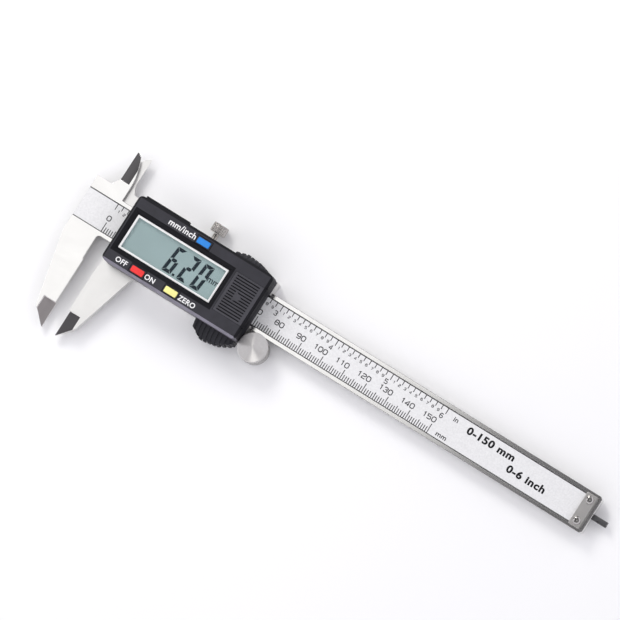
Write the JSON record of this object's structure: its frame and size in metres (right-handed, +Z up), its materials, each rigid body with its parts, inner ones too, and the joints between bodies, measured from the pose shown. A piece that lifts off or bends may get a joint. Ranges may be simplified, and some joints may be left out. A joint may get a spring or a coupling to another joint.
{
  "type": "digital caliper",
  "caption": "Digital caliper with sliding jaws, depth rod, thumb roller, locking screw, display, push-buttons and sliding battery and port covers.",
  "frame": {"origin": "centre of the bounding box's bottom face; the caliper lies on the slider's flat back", "axes": "+X along the beam from the jaws to the depth rod, +Y across the beam towards the inside jaws, +Z up out of the display"},
  "size_m": [0.2414, 0.0762, 0.0152],
  "materials": {
    "beam_steel": "ground and satin-brushed along its length",
    "strip_laminate": "glass-fibre laminate",
    "label_film": "printed satin film",
    "stop_steel": "brushed",
    "screw_steel": "bright",
    "slider_steel": "ground and satin-brushed",
    "gib_bronze": "plain",
    "grub_steel": "blackened",
    "rod_steel": "oiled, darkened",
    "pin_steel": "plain",
    "case_black": "fine-textured",
    "cover_black": "satin",
    "rear_film": "satin film",
    "bezel_white": "satin",
    "window_clear": "clear",
    "lcd_glass": "grey-green display",
    "connector_rubber": "plain",
    "board_green": "solder mask",
    "chip_black": "epoxy",
    "dome_metal": "plain",
    "contact_gold": "gold-plated",
    "spring_metal": "nickel-plated",
    "cell_metal": "nickel-plated",
    "washer_bronze": "plain",
    "roller_metal": "turned, knurled rim",
    "lock_metal": "turned, knurled head",
    "button_blue": "satin",
    "button_red": "satin",
    "button_yellow": "satin"
  },
  "bodies": {
    "beam": {"beam": "beam_steel", "scale_strip": "strip_laminate", "scale_label": "label_film", "end_stop_plate": "stop_steel", "end_stop_screws": "screw_steel"},
    "slider": {"slider_frame": "slider_steel", "gib_strip": "gib_bronze", "gib_set_screws": "grub_steel", "depth_rod": "rod_steel", "depth_rod_pin": "pin_steel", "lower_case": "case_black", "front_cover": "cover_black", "housing_screws": "screw_steel", "rear_label": "rear_film", "lcd_bezel": "bezel_white", "lcd_window": "window_clear", "lcd_panel": "lcd_glass", "zebra_strips": "connector_rubber", "circuit_board": "board_green", "sensor_board": "board_green", "board_screws": "screw_steel", "chip_cover": "chip_black", "dome_switches": "dome_metal", "port_contacts": "contact_gold", "battery_contact_plus": "spring_metal", "battery_contact_minus": "spring_metal", "battery_cell": "cell_metal", "roller_axle": "pin_steel", "roller_washer": "washer_bronze"},
    "thumb_roller": {"thumb_roller": "roller_metal"},
    "lock_pad": {"lock_pad": "gib_bronze"},
    "lock_screw": {"lock_screw": "lock_metal"},
    "button_mm_inch": {"button_mm_inch": "button_blue"},
    "button_on_off": {"button_on_off": "button_red"},
    "button_zero": {"button_zero": "button_yellow"},
    "battery_cover": {"battery_cover": "case_black"},
    "port_cover": {"port_cover": "case_black"}
  },
  "joints": [
    {"name": "slider_travel", "type": "slide", "parent": "beam", "child": "slider", "axis": [1, 0, 0], "range_m": [-0.0062, 0.1438]},
    {"name": "roller_spin", "type": "hinge", "parent": "slider", "child": "thumb_roller", "pos_m": [-0.0319, -0.0028, 0.005], "axis": [0, 0, 1], "continuous": true},
    {"name": "lock_pad_travel", "type": "slide", "parent": "slider", "child": "lock_pad", "axis": [0, -1, 0], "range_m": [-0.001, 0.00025]},
    {"name": "lock_screw_turn", "type": "hinge", "parent": "lock_pad", "child": "lock_screw", "pos_m": [-0.069, 0.0249, 0.0034], "axis": [0, -1, 0], "range_deg": [-720, 180]},
    {"name": "button_mm_inch_press", "type": "slide", "parent": "slider", "child": "button_mm_inch", "axis": [0, 0, -1], "range_m": [0, 0.00045], "stiffness_N_per_m": 1000, "springref_m": -0.0002},
    {"name": "button_on_off_press", "type": "slide", "parent": "slider", "child": "button_on_off", "axis": [0, 0, -1], "range_m": [0, 0.00045], "stiffness_N_per_m": 1000, "springref_m": -0.0002},
    {"name": "button_zero_press", "type": "slide", "parent": "slider", "child": "button_zero", "axis": [0, 0, -1], "range_m": [0, 0.00045], "stiffness_N_per_m": 1000, "springref_m": -0.0002},
    {"name": "battery_cover_slide", "type": "slide", "parent": "slider", "child": "battery_cover", "axis": [1, 0, 0], "range_m": [0, 0.015]},
    {"name": "port_cover_slide", "type": "slide", "parent": "slider", "child": "port_cover", "axis": [1, 0, 0], "range_m": [0, 0.0125]}
  ],
  "couplings": [
    {"joint": "roller_spin", "follows": "slider_travel", "rad_per_m": 176.06},
    {"joint": "lock_screw_turn", "follows": "lock_pad_travel", "rad_per_m": 12566}
  ]
}
